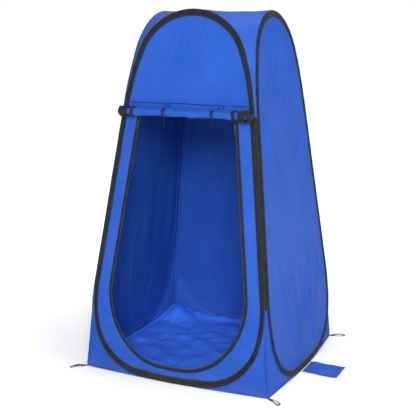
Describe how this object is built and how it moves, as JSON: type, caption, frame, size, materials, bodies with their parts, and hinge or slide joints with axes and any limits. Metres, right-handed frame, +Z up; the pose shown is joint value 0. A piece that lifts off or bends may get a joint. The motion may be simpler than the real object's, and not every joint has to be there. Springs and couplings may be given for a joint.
{
  "type": "privacy shower tent",
  "caption": "Tall pop-up privacy tent: sprung hoops with blue fabric walls hinged at the corners, a roof, a floor, and a zipped doorway whose door is rolled up and tied.",
  "frame": {"origin": "centre of the floor sheet's underside, on the ground", "axes": "+Z up, the doorway faces -Y, +X is the tent's right-hand side as seen from in front"},
  "size_m": [1.3669, 1.1973, 1.91],
  "materials": {
    "wall_fabric": "plain-weave coated polyester, blue",
    "roof_fabric": "plain-weave coated polyester, blue",
    "door_fabric": "plain-weave coated polyester, blue",
    "flap_fabric": "plain-weave coated polyester, blue",
    "floor_sheet": "shiny waterproof coated sheet, blue",
    "sleeve_webbing": "black woven tape",
    "binding_tape": "black grosgrain tape",
    "tie_tape": "black flat tape",
    "peg_webbing": "black webbing",
    "seam_thread": "dark thread",
    "zip_coil": "black nylon coil",
    "zip_metal": "black painted zinc",
    "spring_steel": "flat spring steel",
    "ferrule_metal": "crimped aluminium"
  },
  "bodies": {
    "front": {"front_hoop_wire": "spring_steel", "front_hoop_ferrule": "ferrule_metal", "front_hoop_sleeve": "sleeve_webbing", "front_panel": "wall_fabric", "front_gusset_a": "wall_fabric", "front_gusset_b": "wall_fabric", "floor": "floor_sheet", "roof": "roof_fabric", "door_header": "door_fabric", "door_zip_tape": "binding_tape", "door_zip_coil": "zip_coil", "corner_seam_front_left": "seam_thread", "corner_seam_front_right": "seam_thread"},
    "right": {"right_hoop_wire": "spring_steel", "right_hoop_ferrule": "ferrule_metal", "right_hoop_sleeve": "sleeve_webbing", "right_panel": "wall_fabric", "right_gusset_a": "wall_fabric", "right_gusset_b": "wall_fabric", "corner_seam_back_right": "seam_thread"},
    "back": {"back_hoop_wire": "spring_steel", "back_hoop_ferrule": "ferrule_metal", "back_hoop_sleeve": "sleeve_webbing", "back_panel": "wall_fabric", "back_gusset_a": "wall_fabric", "back_gusset_b": "wall_fabric", "corner_seam_back_left": "seam_thread"},
    "left": {"left_hoop_wire": "spring_steel", "left_hoop_ferrule": "ferrule_metal", "left_hoop_sleeve": "sleeve_webbing", "left_panel": "wall_fabric", "left_gusset_a": "wall_fabric", "left_gusset_b": "wall_fabric"},
    "door_roll": {"door_roll": "door_fabric", "door_edge_binding": "binding_tape", "tie_loop_left": "tie_tape", "tie_loop_right": "tie_tape", "tie_knot_left": "tie_tape", "tie_knot_right": "tie_tape", "tie_tail_left": "tie_tape", "tie_tail_right": "tie_tape"},
    "slider_left": {"zip_slider_left": "zip_metal"},
    "slider_right": {"zip_slider_right": "zip_metal"},
    "pull_left": {"zip_pull_left": "zip_metal"},
    "pull_right": {"zip_pull_right": "zip_metal"},
    "peg_front_left": {"peg_loop_front_left": "peg_webbing"},
    "peg_front_right": {"peg_loop_front_right": "peg_webbing"},
    "peg_back_right": {"peg_loop_back_right": "peg_webbing"},
    "peg_back_left": {"peg_loop_back_left": "peg_webbing"},
    "ground_flap": {"ground_flap": "flap_fabric", "ground_flap_hem": "flap_fabric"}
  },
  "joints": [
    {"name": "right_fold", "type": "hinge", "parent": "front", "child": "right", "pos_m": [0.54713, -0.54713, 0], "axis": [-0.1255, 0.1255, 0.9841], "range_deg": [0, 85], "stiffness_Nm_per_rad": 0.4, "deforming": ["roof", "floor", "front_gusset_b", "right_gusset_a", "corner_seam_front_right"]},
    {"name": "back_fold", "type": "hinge", "parent": "right", "child": "back", "pos_m": [0.54713, 0.54713, 0], "axis": [0.1255, 0.1255, -0.9841], "range_deg": [0, 84], "deforming": ["right_gusset_b", "back_gusset_a", "corner_seam_back_right"]},
    {"name": "left_fold", "type": "hinge", "parent": "front", "child": "left", "pos_m": [-0.54713, -0.54713, 0], "axis": [0.1255, 0.1255, 0.9841], "range_deg": [0, 84], "deforming": ["front_gusset_a", "left_gusset_b", "corner_seam_front_left", "back_gusset_b", "left_gusset_a", "corner_seam_back_left"]},
    {"name": "door_roll_swing", "type": "hinge", "parent": "front", "child": "door_roll", "pos_m": [0, -0.37889, 1.41597], "axis": [-1, 0, 0], "range_deg": [0, 60]},
    {"name": "zip_slide_left", "type": "slide", "parent": "front", "child": "slider_left", "axis": [-0.1255, -0.1255, -0.9841], "range_m": [0, 0.8]},
    {"name": "zip_slide_right", "type": "slide", "parent": "front", "child": "slider_right", "axis": [0.1255, -0.1255, -0.9841], "range_m": [0, 0.8]},
    {"name": "zip_pull_left_swing", "type": "hinge", "parent": "slider_left", "child": "pull_left", "pos_m": [-0.27287, -0.39659, 1.32382], "axis": [-0.9921, 0.0159, 0.1245], "range_deg": [0, 130]},
    {"name": "zip_pull_right_swing", "type": "hinge", "parent": "slider_right", "child": "pull_right", "pos_m": [0.27287, -0.39659, 1.32382], "axis": [-0.9921, -0.0159, -0.1245], "range_deg": [0, 130]},
    {"name": "peg_loop_front_left_lift", "type": "hinge", "parent": "front", "child": "peg_front_left", "pos_m": [-0.53066, -0.53066, 0.003], "axis": [-0.7071, 0.7071, 0], "range_deg": [0, 90]},
    {"name": "peg_loop_front_right_lift", "type": "hinge", "parent": "front", "child": "peg_front_right", "pos_m": [0.53163, -0.52947, 0.003], "axis": [-0.5592, -0.829, 0], "range_deg": [0, 90]},
    {"name": "peg_loop_back_right_lift", "type": "hinge", "parent": "right", "child": "peg_back_right", "pos_m": [0.53231, 0.52825, 0.003], "axis": [0.4067, -0.9135, 0], "range_deg": [0, 90]},
    {"name": "peg_loop_back_left_lift", "type": "hinge", "parent": "left", "child": "peg_back_left", "pos_m": [-0.53113, 0.53014, 0.003], "axis": [0.6428, 0.766, 0], "range_deg": [0, 90]},
    {"name": "ground_flap_lift", "type": "hinge", "parent": "right", "child": "ground_flap", "pos_m": [0.56456, -0.024, 0.003], "axis": [0, -1, 0], "range_deg": [0, 90]}
  ],
  "couplings": [
    {"joint": "back_fold", "follows": "right_fold", "ratio": 0.986},
    {"joint": "left_fold", "follows": "right_fold", "ratio": 0.986}
  ]
}
